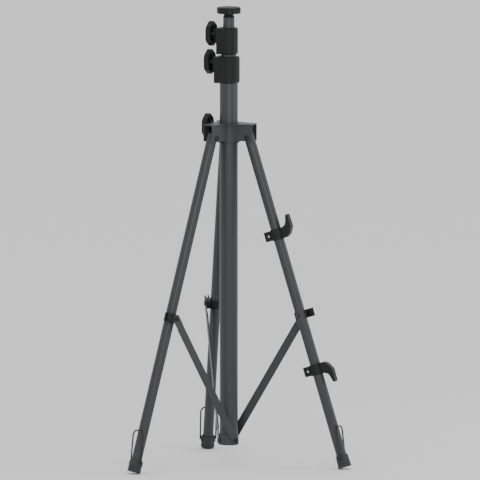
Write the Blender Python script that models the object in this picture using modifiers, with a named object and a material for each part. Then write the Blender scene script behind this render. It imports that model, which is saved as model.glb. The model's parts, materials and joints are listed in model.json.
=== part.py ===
"""Free-standing telescopic tripod stand: three braced tube legs on a sliding hub and a three-section mast."""

import math

import bmesh
import bpy
from mathutils import Matrix, Vector

MM = 0.001
NAME = "telescopic_tripod"

# Clearances
GAP = 0.3 * MM  # between two pieces that touch
CUT = 1.0 * MM  # how far a cutter runs past the face that it opens

# Height of the pivots in the hub: the mast's heights are measured from it
HUB_PIVOT_HEIGHT = 636.0 * MM

# Mast: three steel tubes, one inside the other
OUTER_RADIUS = 17.5 * MM
MID_RADIUS = 14.0 * MM
TOP_RADIUS = 11.0 * MM
MAST_WALL = 1.2 * MM
OUTER_TOP = HUB_PIVOT_HEIGHT + 134.0 * MM
MID_TOP = OUTER_TOP + 56.0 * MM
TOP_TUBE_TOP = MID_TOP + 41.0 * MM
BUSH_FLANGE = 12.0 * MM
BUSH_SPIGOT = 16.0 * MM
BUSH_HOLE_RADIUS = 5.0 * MM
MID_LIFT_FROM_BASE = 26.0 * MM  # the collapsed mid tube stands this far above the base bolts' height
TOP_LIFT_FROM_MID = 4.0 * MM  # the collapsed top tube stands this far above the mid tube's bush

# Base collar on the mast's foot, which carries the three braces
BASE_BOTTOM = 37.7 * MM
BASE_HEIGHT = 21.0 * MM
BASE_FLOOR = 2.6 * MM
BASE_WALL = 1.2 * MM
BASE_DRAIN_RADIUS = 6.0 * MM
BASE_BOSS_RADIUS = 7.0 * MM
BASE_PIVOT_HEIGHT = 8.6 * MM  # above the collar's bottom
BASE_BOLT_DEPTH = 4.0 * MM  # how far a bolt reaches inside the mast's wall

# Clamp collars and their star knobs, all opposite leg 1
COLLAR_CHAMFER = 2.0 * MM
LOWER_COLLAR_BOTTOM = OUTER_TOP - 29.6 * MM
LOWER_COLLAR_TOP = OUTER_TOP + 21.6 * MM
LOWER_COLLAR_WALL = 3.4 * MM
LOWER_KNOB_HEIGHT = OUTER_TOP + 10.0 * MM
UPPER_COLLAR_BOTTOM = MID_TOP - 30.0 * MM
UPPER_COLLAR_TOP = MID_TOP + 21.0 * MM
UPPER_COLLAR_WALL = 3.5 * MM
UPPER_KNOB_HEIGHT = MID_TOP + 8.5 * MM
BOSS_REACH = 5.6 * MM  # how far the screw's round boss stands out past the collar
BOSS_RADIUS = 8.6 * MM
BLOCK_REACH = 2.8 * MM  # the flat block behind the boss stands out this far
BLOCK_INSET = 0.4 * MM  # from the collar's side and top to the block's
BLOCK_BELOW_KNOB = 18.5 * MM
BLOCK_ROUND = 1.2 * MM
TAIL_REACH = 0.7 * MM  # the block's lower half stands out this much more
TAIL_INSET = 3.0 * MM  # and is this much narrower on each side

KNOB_RADIUS = 24.0 * MM
KNOB_THICKNESS = 10.4 * MM
KNOB_STEM_RADIUS = 8.0 * MM
KNOB_STEM_LENGTH = 7.0 * MM
KNOB_LOBES = 6
KNOB_LOBE_DEPTH = 0.07
KNOB_DOME = 0.9 * MM
KNOB_EDGE = 1.3 * MM
KNOB_RECESS = 3.0 * MM
KNOB_RIM_WALL = 3.2 * MM
STUD_RADIUS = 4.0 * MM
STUD_IN_KNOB = 10.0 * MM
PAD_RADIUS = 3.5 * MM
PAD_THICKNESS = 1.4 * MM

# Lamp seat and its knob on the mast's top
PLUG_FLANGE = 1.9 * MM
PLUG_DEPTH = 22.0 * MM
WASHER_RADIUS = 9.6 * MM
WASHER_THICKNESS = 1.3 * MM
TOP_KNOB_RADIUS = 23.5 * MM
TOP_KNOB_THICKNESS = 12.4 * MM
TOP_KNOB_NECK = 3.6 * MM
TOP_KNOB_NECK_RADIUS = 9.4 * MM
TOP_STUD_IN_PLUG = 15.0 * MM

# Sliding hub
HUB_PIVOT_RADIUS = 42.0 * MM
HUB_BELOW_PIVOT = 7.0 * MM
HUB_ABOVE_PIVOT = 26.0 * MM
HUB_PLATE = 2.0 * MM
HUB_CHEEK = 2.0 * MM
HUB_SIDE_ROOM = 1.5 * MM  # between a leg tube and the cheek beside it
HUB_ARM_PAST_PIVOT = 10.5 * MM
HUB_SLEEVE_WALL = 3.2 * MM
HUB_SLEEVE_DROP = 4.0 * MM
HUB_SLEEVE_RISE = 0.9 * MM
HUB_COVER_RISE = 0.4 * MM  # the star-shaped cover lies this much above the arms
HUB_COVER_LIP = 0.5 * MM  # the cover's overhang past the arms
HUB_COVER_WAIST = 30.0 * MM  # the cover's reach midway between two arms
HUB_BOSS_RADIUS = 6.6 * MM
HUB_BOSS_REACH = 10.0 * MM
HUB_KNOB_ABOVE_PIVOT = 19.4 * MM
HUB_EDGE = 1.0 * MM
RIVET_RADIUS = 3.0 * MM
RIVET_HEAD_RADIUS = 5.2 * MM
RIVET_HEAD = 1.8 * MM

# Legs
LEG_RADIUS = 10.0 * MM
LEG_WALL = 1.0 * MM
LEG_SPREAD = math.radians(17.25)
LEG_PAST_PIVOT = 7.0 * MM
LEG_PLUG_HEAD = 1.8 * MM
LEG_PLUG_DEPTH = 20.0 * MM
SLOT_DOWN = 7.8 * MM  # room for the hub rivet in the leg while the stand folds
SLOT_IN = 2.8 * MM

# Braces
BRACE_DOWN_LEG = 357.0 * MM
BRACE_HALF_WIDTH = 8.0 * MM
BRACE_SHEET = 1.2 * MM
BRACE_FLANGE = 1.1 * MM
BRACE_FLAT_END = 14.0 * MM
BRACE_FROM_MAST = OUTER_RADIUS + 1.7 * MM  # the web's inner face, from the mast's centre plane
BRACE_BOLT_RADIUS = 2.5 * MM
BRACE_BOLT_HEAD_RADIUS = 5.0 * MM
BRACE_BOLT_HEAD = 1.6 * MM
CLIP_HALF_HEIGHT = 8.0 * MM
CLIP_INNER = 8.0 * MM
CLIP_OUTER = 9.0 * MM
PRONG_REACH = LEG_RADIUS + 11.5 * MM
PRONG_THICKNESS = 2.35 * MM

# Foot caps and peg loops
CAP_TOP_RADIUS = LEG_RADIUS + 2.0 * MM
CAP_BOTTOM_RADIUS = LEG_RADIUS + 3.3 * MM
CAP_HEIGHT = 24.0 * MM
CAP_FLOOR = 5.0 * MM
CAP_EAR_HALF_WIDTH = 6.0 * MM
CAP_EAR_REACH = CAP_TOP_RADIUS + 1.5 * MM
LOOP_WIRE_RADIUS = 1.5 * MM
LOOP_PIVOT_HEIGHT = 16.5 * MM
LOOP_LENGTH = 64.0 * MM
LOOP_CORNER = 11.0 * MM
LOOP_IN_EAR = 2.0 * MM

# Cord hooks on leg 1
HOOK_DOWN_LEG = (195.0 * MM, 465.0 * MM)
HOOK_BAND_LOW = 10.0 * MM
HOOK_BAND_HIGH = 11.0 * MM
HOOK_BAND_WALL = 2.2 * MM
HOOK_EAR_REACH = LEG_RADIUS + 16.0 * MM
HOOK_EAR_HALF_HEIGHT = 9.5 * MM
HOOK_EAR_HALF_THICKNESS = 2.4 * MM
HOOK_EAR_HOLE = LEG_RADIUS + 8.5 * MM
HOOK_EAR_HOLE_RADIUS = 2.25 * MM
HOOK_HALF_WIDTH = 7.5 * MM
HOOK_REACH = LEG_RADIUS + 23.5 * MM
HOOK_THROAT = LEG_RADIUS + 14.5 * MM  # the tip's inner side, from the leg's axis
HOOK_TIP = 33.0 * MM
HOOK_LIP = 4.5 * MM

# Worked out from the sizes above
LEG_AZIMUTHS = [math.radians(120.0 * i) for i in range(3)]
BASE_PIVOT = BASE_BOTTOM + BASE_PIVOT_HEIGHT
LEG_LENGTH = (HUB_PIVOT_HEIGHT - CAP_BOTTOM_RADIUS * math.sin(LEG_SPREAD)) / math.cos(LEG_SPREAD)
BRACE_TOP_RADIUS = HUB_PIVOT_RADIUS + BRACE_DOWN_LEG * math.sin(LEG_SPREAD)
BRACE_TOP_HEIGHT = HUB_PIVOT_HEIGHT - BRACE_DOWN_LEG * math.cos(LEG_SPREAD)
BRACE_LENGTH = math.hypot(BRACE_TOP_RADIUS, BRACE_TOP_HEIGHT - BASE_PIVOT)
BRACE_ANGLE = math.atan2(BRACE_TOP_RADIUS, BRACE_TOP_HEIGHT - BASE_PIVOT)
FOOT_RADIUS = HUB_PIVOT_RADIUS + LEG_LENGTH * math.sin(LEG_SPREAD)
FOOT_OUTER = FOOT_RADIUS + CAP_BOTTOM_RADIUS * math.cos(LEG_SPREAD)
MAST_X = (FOOT_RADIUS / 2 + CAP_BOTTOM_RADIUS - FOOT_OUTER) / 2  # the origin is amid the three feet
BRACE_OUTER = BRACE_FROM_MAST + BRACE_SHEET
HUB_HALF_WIDTH = LEG_RADIUS + HUB_SIDE_ROOM + HUB_CHEEK
HUB_TOP = HUB_PIVOT_HEIGHT + HUB_ABOVE_PIVOT
HUB_BOTTOM = HUB_PIVOT_HEIGHT - HUB_BELOW_PIVOT
HUB_SLEEVE_RADIUS = OUTER_RADIUS + GAP + HUB_SLEEVE_WALL


def clear_scene():
    for old in list(bpy.data.objects):
        bpy.data.objects.remove(old, do_unlink=True)


def new_collection(name):
    collection = bpy.data.collections.new(name)
    bpy.context.scene.collection.children.link(collection)
    return collection


def new_material(name, color, roughness, metallic):
    material = bpy.data.materials.new(name)
    material.use_nodes = True
    shader = material.node_tree.nodes["Principled BSDF"]
    shader.inputs["Base Color"].default_value = (*color, 1.0)
    shader.inputs["Roughness"].default_value = roughness
    shader.inputs["Metallic"].default_value = metallic
    return material


def new_frame(name, parent=None, location=(0, 0, 0), rotation=(0, 0, 0)):
    frame = bpy.data.objects.new(name, None)
    frame.empty_display_size = 0.02
    frame.parent = parent
    frame.location = location
    frame.rotation_euler = rotation
    PARTS.objects.link(frame)
    return frame


def new_piece(name, mesh, material, frame):
    piece = bpy.data.objects.new(name, mesh)
    piece.parent = frame
    mesh.materials.append(material)
    mesh.shade_smooth()
    mesh.set_sharp_from_angle(angle=math.radians(35))
    PARTS.objects.link(piece)
    return piece


def change(piece, operation, mesh, label):
    """Adds a Boolean whose tool is this mesh, placed in the piece's own frame."""
    tool = bpy.data.objects.new(f"{piece.name}_{label}", mesh)
    tool.parent = piece.parent
    tool.hide_render = True
    tool.display_type = "WIRE"
    CUTTERS.objects.link(tool)
    boolean = piece.modifiers.new(label, "BOOLEAN")
    boolean.operation = operation
    boolean.object = tool
    boolean.solver = "EXACT"


def cut(piece, mesh, label):
    change(piece, "DIFFERENCE", mesh, label)


def join(piece, mesh, label):
    change(piece, "UNION", mesh, label)


def mesh_from(bm, name):
    bmesh.ops.recalc_face_normals(bm, faces=bm.faces)
    mesh = bpy.data.meshes.new(name)
    bm.to_mesh(mesh)
    bm.free()
    return mesh


def rod(start, end, radius, end_radius=None, sides=16):
    """A cylinder or cone between two points."""
    start, end = Vector(start), Vector(end)
    along = end - start
    turn = along.to_track_quat("Z", "Y").to_matrix().to_4x4()
    bm = bmesh.new()
    bmesh.ops.create_cone(
        bm,
        cap_ends=True,
        segments=sides,
        radius1=radius,
        radius2=radius if end_radius is None else end_radius,
        depth=along.length,
        matrix=Matrix.Translation((start + end) / 2) @ turn,
    )
    return mesh_from(bm, "rod")


def block(low, high, edge=0.0, edges_along=None):
    """A box between two corners, with its edges along one axis rounded when an edge radius is given."""
    low, high = Vector(low), Vector(high)
    bm = bmesh.new()
    size = Matrix.Diagonal((*(high - low), 1.0))
    bmesh.ops.create_cube(bm, size=1.0, matrix=Matrix.Translation((low + high) / 2) @ size)
    if edge:
        chosen = [
            e for e in bm.edges
            if edges_along is None or abs((e.verts[1].co - e.verts[0].co).normalized()[edges_along]) > 0.9
        ]
        bmesh.ops.bevel(bm, geom=chosen, offset=edge, segments=1, profile=0.5, affect="EDGES")
    return mesh_from(bm, "block")


def arc(center, radius, start, end, steps):
    """Points on an arc, with its angles in degrees."""
    angles = [math.radians(start + (end - start) * i / steps) for i in range(steps + 1)]
    return [(center[0] + radius * math.cos(a), center[1] + radius * math.sin(a)) for a in angles]


def plate(outline, low, high, to_space):
    """A flat outline given thickness from low to high; to_space turns (u, v, w) into a point."""
    bm = bmesh.new()
    face = bm.faces.new([bm.verts.new(to_space(u, v, low)) for u, v in outline])
    raised = bmesh.ops.extrude_face_region(bm, geom=[face])["geom"]
    shift = Vector(to_space(0, 0, high)) - Vector(to_space(0, 0, low))
    bmesh.ops.translate(bm, verts=[g for g in raised if isinstance(g, bmesh.types.BMVert)], vec=shift)
    return mesh_from(bm, "plate")


def turned(name, profile, material, frame, closed=False, steps=36):
    """A profile of (radius, height) points turned about Z: down the outer side, and up the inner side."""
    bm = bmesh.new()
    points = [bm.verts.new((radius, 0, height)) for radius, height in profile]
    for first, second in zip(points, points[1:]):
        bm.edges.new((first, second))
    if closed:
        bm.edges.new((points[-1], points[0]))
    mesh = bpy.data.meshes.new(name)
    bm.to_mesh(mesh)
    bm.free()
    piece = new_piece(name, mesh, material, frame)
    screw = piece.modifiers.new("turn", "SCREW")
    screw.steps = screw.render_steps = steps
    screw.use_merge_vertices = True
    screw.merge_threshold = 0.00001
    return piece


def tube(name, radius, wall, bottom, top, material, frame, steps=36):
    inner = radius - wall
    profile = [(radius, top), (radius, bottom), (inner, bottom), (inner, top)]
    return turned(name, profile, material, frame, closed=True, steps=steps)


def solid_rod(name, profile, material, frame, steps=16):
    """A turned piece that is solid on its axis."""
    closed_profile = [(0, profile[0][1]), *profile, (0, profile[-1][1])]
    return turned(name, closed_profile, material, frame, steps=steps)


def knob_profile(radius, thickness, stem_radius, stem_length, stem_flare):
    """From the dome's middle down the outside to the stud's blind hole; the stem's end is at height 0."""
    top = stem_length + thickness
    hole = STUD_RADIUS + GAP
    inner_rim = radius - KNOB_RIM_WALL
    return [
        (0, top),
        (radius * 0.62, top - KNOB_DOME * 0.35),
        (radius - KNOB_EDGE, top - KNOB_DOME),
        (radius, top - KNOB_DOME - KNOB_EDGE),
        (radius, stem_length + KNOB_EDGE * 0.7),
        (radius - KNOB_EDGE * 0.7, stem_length),
        (inner_rim, stem_length),
        (inner_rim - 0.6 * MM, stem_length + KNOB_RECESS),
        (stem_radius + stem_flare, stem_length + KNOB_RECESS),
        (stem_radius, 0),
        (hole, 0),
        (hole, STUD_IN_KNOB + GAP),
        (0, STUD_IN_KNOB + GAP),
    ]


def star_knob(name, profile, grip_from, material, frame):
    """Turns the profile, then draws the rim in between the lobes."""
    bm = bmesh.new()
    points = [bm.verts.new((radius, 0, height)) for radius, height in profile]
    edges = [bm.edges.new(pair) for pair in zip(points, points[1:])]
    bmesh.ops.spin(
        bm,
        geom=[*points, *edges],
        cent=(0, 0, 0),
        axis=(0, 0, 1),
        dvec=(0, 0, 0),
        angle=2 * math.pi,
        steps=6 * KNOB_LOBES,
        use_merge=True,
    )
    bmesh.ops.remove_doubles(bm, verts=bm.verts, dist=0.00001)
    for vertex in bm.verts:
        if vertex.co.xy.length > grip_from:
            valley = (0.5 - 0.5 * math.cos(KNOB_LOBES * math.atan2(vertex.co.y, vertex.co.x))) ** 1.6
            vertex.co.xy *= 1 - KNOB_LOBE_DEPTH * valley
    return new_piece(name, mesh_from(bm, name), material, frame)


def clamp_screw(name, frame, tube_radius, face):
    """A star knob on its stud, and the pad that the stud presses on a tube; the frame's Z runs outwards."""
    pad_end = tube_radius + GAP + PAD_THICKNESS
    solid_rod(
        f"{name}_pad",
        [(PAD_RADIUS, pad_end), (PAD_RADIUS, tube_radius + GAP)],
        MATERIALS["brass"],
        frame,
        steps=16,
    )
    seat = face + GAP
    turning = new_frame(f"{name}_axis", frame, (0, 0, seat))
    profile = knob_profile(KNOB_RADIUS, KNOB_THICKNESS, KNOB_STEM_RADIUS, KNOB_STEM_LENGTH, 1.5 * MM)
    star_knob(f"{name}_knob", profile, KNOB_STEM_RADIUS + 3 * MM, MATERIALS["knob_plastic"], turning)
    solid_rod(
        f"{name}_stud",
        [
            (STUD_RADIUS - 0.8 * MM, STUD_IN_KNOB),
            (STUD_RADIUS, STUD_IN_KNOB - 0.8 * MM),
            (STUD_RADIUS, pad_end + GAP - seat + 0.8 * MM),
            (STUD_RADIUS - 0.8 * MM, pad_end + GAP - seat),
        ],
        MATERIALS["zinc"],
        turning,
        steps=16,
    )


def clamp_collar(name, bottom, top, wall, tube_radius, tube_top, sliding_radius, knob_height, frame):
    """A moulded collar that sits on one tube's end and clamps the next tube that slides through it."""
    seat, bore = tube_radius + GAP, sliding_radius + GAP
    outer = seat + wall
    c = COLLAR_CHAMFER
    inside = bore - CUT
    collar = turned(
        name,
        [
            (outer - c, top),
            (outer, top - c),
            (outer, bottom + c),
            (outer - c, bottom),
            (inside, bottom),
            (inside, top),
        ],
        MATERIALS["collar_plastic"],
        frame,
        closed=True,
        steps=32,
    )
    boss_face = outer + BOSS_REACH
    block_face = outer + BLOCK_REACH
    split = knob_height - BLOCK_BELOW_KNOB
    half = outer - BLOCK_INSET
    tail_half = half - TAIL_INSET
    upper_block = block((-block_face, -half, split), (-CUT, half, top - BLOCK_INSET), BLOCK_ROUND, 0)
    tail_face = block_face + TAIL_REACH
    lower_block = block((-tail_face, -tail_half, bottom), (-CUT, tail_half, split + CUT), BLOCK_ROUND, 2)
    join(collar, upper_block, "block")
    join(collar, lower_block, "tail")
    join(collar, rod((-outer, 0, knob_height), (-boss_face, 0, knob_height), BOSS_RADIUS, sides=24), "boss")
    cut(collar, rod((0, 0, knob_height), (-boss_face - CUT, 0, knob_height), STUD_RADIUS + GAP), "stud_hole")
    cut(collar, rod((0, 0, bottom - CUT), (0, 0, tube_top + GAP), seat, sides=32), "seat")
    cut(collar, rod((0, 0, bottom), (0, 0, top + CUT), bore, sides=32), "bore")
    side = new_frame(f"{name}_side", frame, (0, 0, knob_height), (0, -math.pi / 2, 0))
    clamp_screw(name.replace("collar", "clamp"), side, sliding_radius, boss_face)


def guide_bush(name, tube_radius, tube_bottom, guide_radius, frame):
    """A moulded guide in a sliding tube's lower end, running in the tube around it."""
    inner = tube_radius - MAST_WALL - GAP
    running = guide_radius - MAST_WALL - GAP
    shoulder = tube_bottom - GAP
    turned(
        name,
        [
            (inner, shoulder + BUSH_SPIGOT),
            (inner, shoulder),
            (running, shoulder),
            (running, shoulder - BUSH_FLANGE + 1 * MM),
            (running - 1 * MM, shoulder - BUSH_FLANGE),
            (BUSH_HOLE_RADIUS, shoulder - BUSH_FLANGE),
            (BUSH_HOLE_RADIUS, shoulder + BUSH_SPIGOT),
        ],
        MATERIALS["bush_plastic"],
        frame,
        closed=True,
        steps=24,
    )


def build_mast(frame):
    tube_bottom = BASE_BOTTOM + BASE_FLOOR + GAP
    paint = MATERIALS["tube_paint"]
    outer = tube("outer_tube", OUTER_RADIUS, MAST_WALL, tube_bottom, OUTER_TOP, paint, frame, 36)
    collar_radius = OUTER_RADIUS + GAP + BASE_WALL
    collar = turned(
        "base_collar",
        [
            (collar_radius, BASE_BOTTOM + BASE_HEIGHT),
            (collar_radius, BASE_BOTTOM + 1.5 * MM),
            (collar_radius - 1.5 * MM, BASE_BOTTOM),
            (BASE_DRAIN_RADIUS, BASE_BOTTOM),
            (BASE_DRAIN_RADIUS, BASE_BOTTOM + BASE_FLOOR),
            (OUTER_RADIUS + GAP, BASE_BOTTOM + BASE_FLOOR),
            (OUTER_RADIUS + GAP, BASE_BOTTOM + BASE_HEIGHT),
        ],
        MATERIALS["collar_plastic"],
        frame,
        closed=True,
        steps=36,
    )
    inside = OUTER_RADIUS - MAST_WALL - BASE_BOLT_DEPTH
    flat = BRACE_FROM_MAST - GAP
    for number, azimuth in enumerate(LEG_AZIMUTHS, 1):
        across = Vector((-math.sin(azimuth), math.cos(azimuth), 0))
        pivot = Vector((0, 0, BASE_PIVOT))
        boss = rod(pivot + across * (OUTER_RADIUS + 2 * GAP), pivot + across * flat, BASE_BOSS_RADIUS)
        join(collar, boss, f"boss_{number}")
        for piece in (outer, collar):
            start, end = pivot + across * (inside - CUT), pivot + across * (flat + CUT)
            hole = rod(start, end, BRACE_BOLT_RADIUS + GAP)
            cut(piece, hole, f"bolt_hole_{number}")
        side = new_frame(f"base_pivot_{number}", frame, pivot, (-math.pi / 2, 0, azimuth))
        bolt(f"base_bolt_{number}", side, inside, BRACE_OUTER + GAP, MATERIALS["black_zinc"])

    clamp_collar(
        "lower_collar", LOWER_COLLAR_BOTTOM, LOWER_COLLAR_TOP, LOWER_COLLAR_WALL,
        OUTER_RADIUS, OUTER_TOP, MID_RADIUS, LOWER_KNOB_HEIGHT, frame,
    )
    clamp_collar(
        "upper_collar", UPPER_COLLAR_BOTTOM, UPPER_COLLAR_TOP, UPPER_COLLAR_WALL,
        MID_RADIUS, MID_TOP, TOP_RADIUS, UPPER_KNOB_HEIGHT, frame,
    )
    mid_bottom = BASE_PIVOT + MID_LIFT_FROM_BASE
    tube("mid_tube", MID_RADIUS, MAST_WALL, mid_bottom, MID_TOP, paint, frame, 32)
    guide_bush("mid_bush", MID_RADIUS, mid_bottom, OUTER_RADIUS, frame)
    top_bottom = mid_bottom + BUSH_SPIGOT + BUSH_FLANGE + TOP_LIFT_FROM_MID
    tube("top_tube", TOP_RADIUS, MAST_WALL, top_bottom, TOP_TUBE_TOP, paint, frame, 28)
    guide_bush("top_bush", TOP_RADIUS, top_bottom, MID_RADIUS, frame)
    build_lamp_seat(frame)


def build_lamp_seat(frame):
    """The threaded plug in the mast's top, and the knob that holds a lamp bracket down on it."""
    flange_low = TOP_TUBE_TOP + GAP
    flange_top = flange_low + PLUG_FLANGE
    spigot = TOP_RADIUS - MAST_WALL - GAP
    turned(
        "top_plug",
        [
            (TOP_RADIUS, flange_top),
            (TOP_RADIUS, flange_low),
            (spigot, flange_low),
            (spigot, flange_low - PLUG_DEPTH),
            (STUD_RADIUS + GAP, flange_low - PLUG_DEPTH),
            (STUD_RADIUS + GAP, flange_top),
        ],
        MATERIALS["collar_plastic"],
        frame,
        closed=True,
        steps=32,
    )
    washer_low = flange_top + GAP
    washer_top = washer_low + WASHER_THICKNESS
    washer_wall = WASHER_RADIUS - STUD_RADIUS - GAP
    tube("top_washer", WASHER_RADIUS, washer_wall, washer_low, washer_top, MATERIALS["zinc"], frame, 32)
    seat = washer_top + GAP
    turning = new_frame("top_knob_axis", frame, (0, 0, seat))
    profile = knob_profile(TOP_KNOB_RADIUS, TOP_KNOB_THICKNESS, TOP_KNOB_NECK_RADIUS, TOP_KNOB_NECK, 3 * MM)
    star_knob("top_knob", profile, TOP_KNOB_NECK_RADIUS + 4 * MM, MATERIALS["knob_plastic"], turning)
    solid_rod(
        "top_stud",
        [(STUD_RADIUS, STUD_IN_KNOB), (STUD_RADIUS, flange_top - TOP_STUD_IN_PLUG - seat)],
        MATERIALS["zinc"],
        turning,
        steps=16,
    )


def bolt(name, frame, start, head_from, material):
    """A pan head bolt along the frame's Z, from its plain end to the top of its head."""
    head_top = head_from + BRACE_BOLT_HEAD
    solid_rod(
        name,
        [
            (BRACE_BOLT_HEAD_RADIUS - 1 * MM, head_top),
            (BRACE_BOLT_HEAD_RADIUS, head_top - 0.8 * MM),
            (BRACE_BOLT_HEAD_RADIUS, head_from),
            (BRACE_BOLT_RADIUS, head_from),
            (BRACE_BOLT_RADIUS, start),
        ],
        material,
        frame,
    )


def hub_cover_outline(arm_end, half):
    """A three-pointed star: an arc sweeps from each arm's corner to the next arm's."""
    to_corner = math.hypot(arm_end, half)
    corner_angle = math.radians(60) - math.atan2(half, arm_end)
    waist = HUB_COVER_WAIST
    middle = (to_corner**2 - waist**2) / (2 * (to_corner * math.cos(corner_angle) - waist))
    radius = abs(middle - waist)
    half_sweep = math.degrees(math.asin(to_corner * math.sin(corner_angle) / radius))
    outline = []
    for azimuth in (60, 180, 300):
        center = (middle * math.cos(math.radians(azimuth)), middle * math.sin(math.radians(azimuth)))
        facing = azimuth + 180
        outline += arc(center, radius, facing + half_sweep, facing - half_sweep, 8)
    return outline


def build_hub(frame):
    """A sleeve on the mast with three channel arms, open below and at the outer end."""
    half = HUB_HALF_WIDTH
    inner = half - HUB_CHEEK
    arm_end = HUB_PIVOT_RADIUS + HUB_ARM_PAST_PIVOT
    knob_height = HUB_PIVOT_HEIGHT + HUB_KNOB_ABOVE_PIVOT
    hub = turned(
        "hub",
        [
            (HUB_SLEEVE_RADIUS, HUB_TOP + HUB_SLEEVE_RISE),
            (HUB_SLEEVE_RADIUS, HUB_BOTTOM - HUB_SLEEVE_DROP),
            (OUTER_RADIUS - CUT, HUB_BOTTOM - HUB_SLEEVE_DROP),
            (OUTER_RADIUS - CUT, HUB_TOP + HUB_SLEEVE_RISE),
        ],
        MATERIALS["hub_paint"],
        frame,
        closed=True,
        steps=36,
    )
    for number, azimuth in enumerate(LEG_AZIMUTHS, 1):
        arm = block((0, -half, HUB_BOTTOM), (arm_end, half, HUB_TOP), HUB_EDGE, 0)
        arm.transform(Matrix.Rotation(azimuth, 4, "Z"))
        join(hub, arm, f"arm_{number}")
    cover = plate(
        hub_cover_outline(arm_end + HUB_COVER_LIP, half + HUB_COVER_LIP),
        HUB_TOP - HUB_PLATE / 2,
        HUB_TOP + HUB_COVER_RISE,
        lambda u, v, w: (u, v, w),
    )
    join(hub, cover, "cover")
    boss_end = HUB_SLEEVE_RADIUS + HUB_BOSS_REACH
    join(hub, rod((-OUTER_RADIUS, 0, knob_height), (-boss_end, 0, knob_height), HUB_BOSS_RADIUS), "boss")
    for number, azimuth in enumerate(LEG_AZIMUTHS, 1):
        turn = Matrix.Rotation(azimuth, 4, "Z")
        channel = block(
            (HUB_SLEEVE_RADIUS + CUT, -inner, HUB_BOTTOM - CUT),
            (arm_end + CUT, inner, HUB_TOP - HUB_PLATE),
        )
        channel.transform(turn)
        cut(hub, channel, f"channel_{number}")
        pivot = (HUB_PIVOT_RADIUS, HUB_PIVOT_HEIGHT)
        hole = rod((pivot[0], -half - CUT, pivot[1]), (pivot[0], half + CUT, pivot[1]), RIVET_RADIUS + GAP)
        hole.transform(turn)
        cut(hub, hole, f"rivet_hole_{number}")
        place = turn @ Vector((pivot[0], 0, pivot[1]))
        side = new_frame(f"hub_pivot_{number}", frame, place, (-math.pi / 2, 0, azimuth))
        build_rivet(f"hub_rivet_{number}", side, half + GAP)
    cut(hub, rod((0, 0, knob_height), (-boss_end - CUT, 0, knob_height), STUD_RADIUS + GAP), "stud_hole")
    bore_bottom = HUB_BOTTOM - HUB_SLEEVE_DROP - CUT
    bore = rod((0, 0, bore_bottom), (0, 0, HUB_TOP + 2 * CUT), OUTER_RADIUS + GAP, sides=36)
    cut(hub, bore, "bore")
    side = new_frame("hub_clamp_side", frame, (0, 0, knob_height), (0, -math.pi / 2, 0))
    clamp_screw("hub_clamp", side, OUTER_RADIUS, boss_end)


def build_rivet(name, frame, grip):
    """A domed rivet through both cheeks of a hub arm."""
    solid_rod(
        name,
        [
            (RIVET_HEAD_RADIUS * 0.6, grip + RIVET_HEAD),
            (RIVET_HEAD_RADIUS, grip + RIVET_HEAD * 0.4),
            (RIVET_HEAD_RADIUS, grip),
            (RIVET_RADIUS, grip),
            (RIVET_RADIUS, -grip),
            (RIVET_HEAD_RADIUS, -grip),
            (RIVET_HEAD_RADIUS, -grip - RIVET_HEAD * 0.4),
            (RIVET_HEAD_RADIUS * 0.6, -grip - RIVET_HEAD),
        ],
        MATERIALS["black_zinc"],
        frame,
    )


def rivet_slot():
    """The opening that lets the rivet shift in the leg's end while the stand folds."""
    room = RIVET_RADIUS + GAP
    reach = LEG_RADIUS + CUT
    return block((-SLOT_IN - room, -reach, -SLOT_DOWN - room), (room, reach, room), 2 * MM, 1)


def build_leg(number, azimuth, mast):
    """One leg in its own frame: Z up along the tube from the hub pivot, X away from the mast, Y across."""
    pivot = (HUB_PIVOT_RADIUS * math.cos(azimuth), HUB_PIVOT_RADIUS * math.sin(azimuth), HUB_PIVOT_HEIGHT)
    leg = new_frame(f"leg_{number}_axis", mast, pivot, (0, -LEG_SPREAD, azimuth))
    tube_bottom = -LEG_LENGTH + CAP_FLOOR + GAP
    paint = MATERIALS["tube_paint"]
    body = tube(f"leg_tube_{number}", LEG_RADIUS, LEG_WALL, tube_bottom, LEG_PAST_PIVOT, paint, leg, 24)
    bore = LEG_RADIUS - LEG_WALL - GAP
    head = LEG_PAST_PIVOT + GAP
    plug = solid_rod(
        f"leg_plug_{number}",
        [
            (LEG_RADIUS - 1 * MM, head + LEG_PLUG_HEAD),
            (LEG_RADIUS, head + LEG_PLUG_HEAD - 1 * MM),
            (LEG_RADIUS, head),
            (bore, head),
            (bore, head - LEG_PLUG_DEPTH),
        ],
        MATERIALS["bush_plastic"],
        leg,
        steps=32,
    )
    for piece in (body, plug):
        cut(piece, rivet_slot(), "rivet_slot")
    start, end = (0, -LEG_RADIUS - CUT, -BRACE_DOWN_LEG), (0, LEG_RADIUS + CUT, -BRACE_DOWN_LEG)
    brace_hole = rod(start, end, BRACE_BOLT_RADIUS + GAP)
    cut(body, brace_hole, "brace_bolt_hole")
    build_brace_clip(number, leg)
    top = new_frame(f"brace_pivot_{number}", leg, (0, 0, -BRACE_DOWN_LEG), (-math.pi / 2, 0, 0))
    bolt(f"brace_bolt_{number}", top, -LEG_RADIUS, BRACE_OUTER + GAP, MATERIALS["black_zinc"])
    foot = new_frame(f"foot_{number}_axis", leg, (0, 0, -LEG_LENGTH))
    build_foot(number, foot)
    return leg


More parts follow.
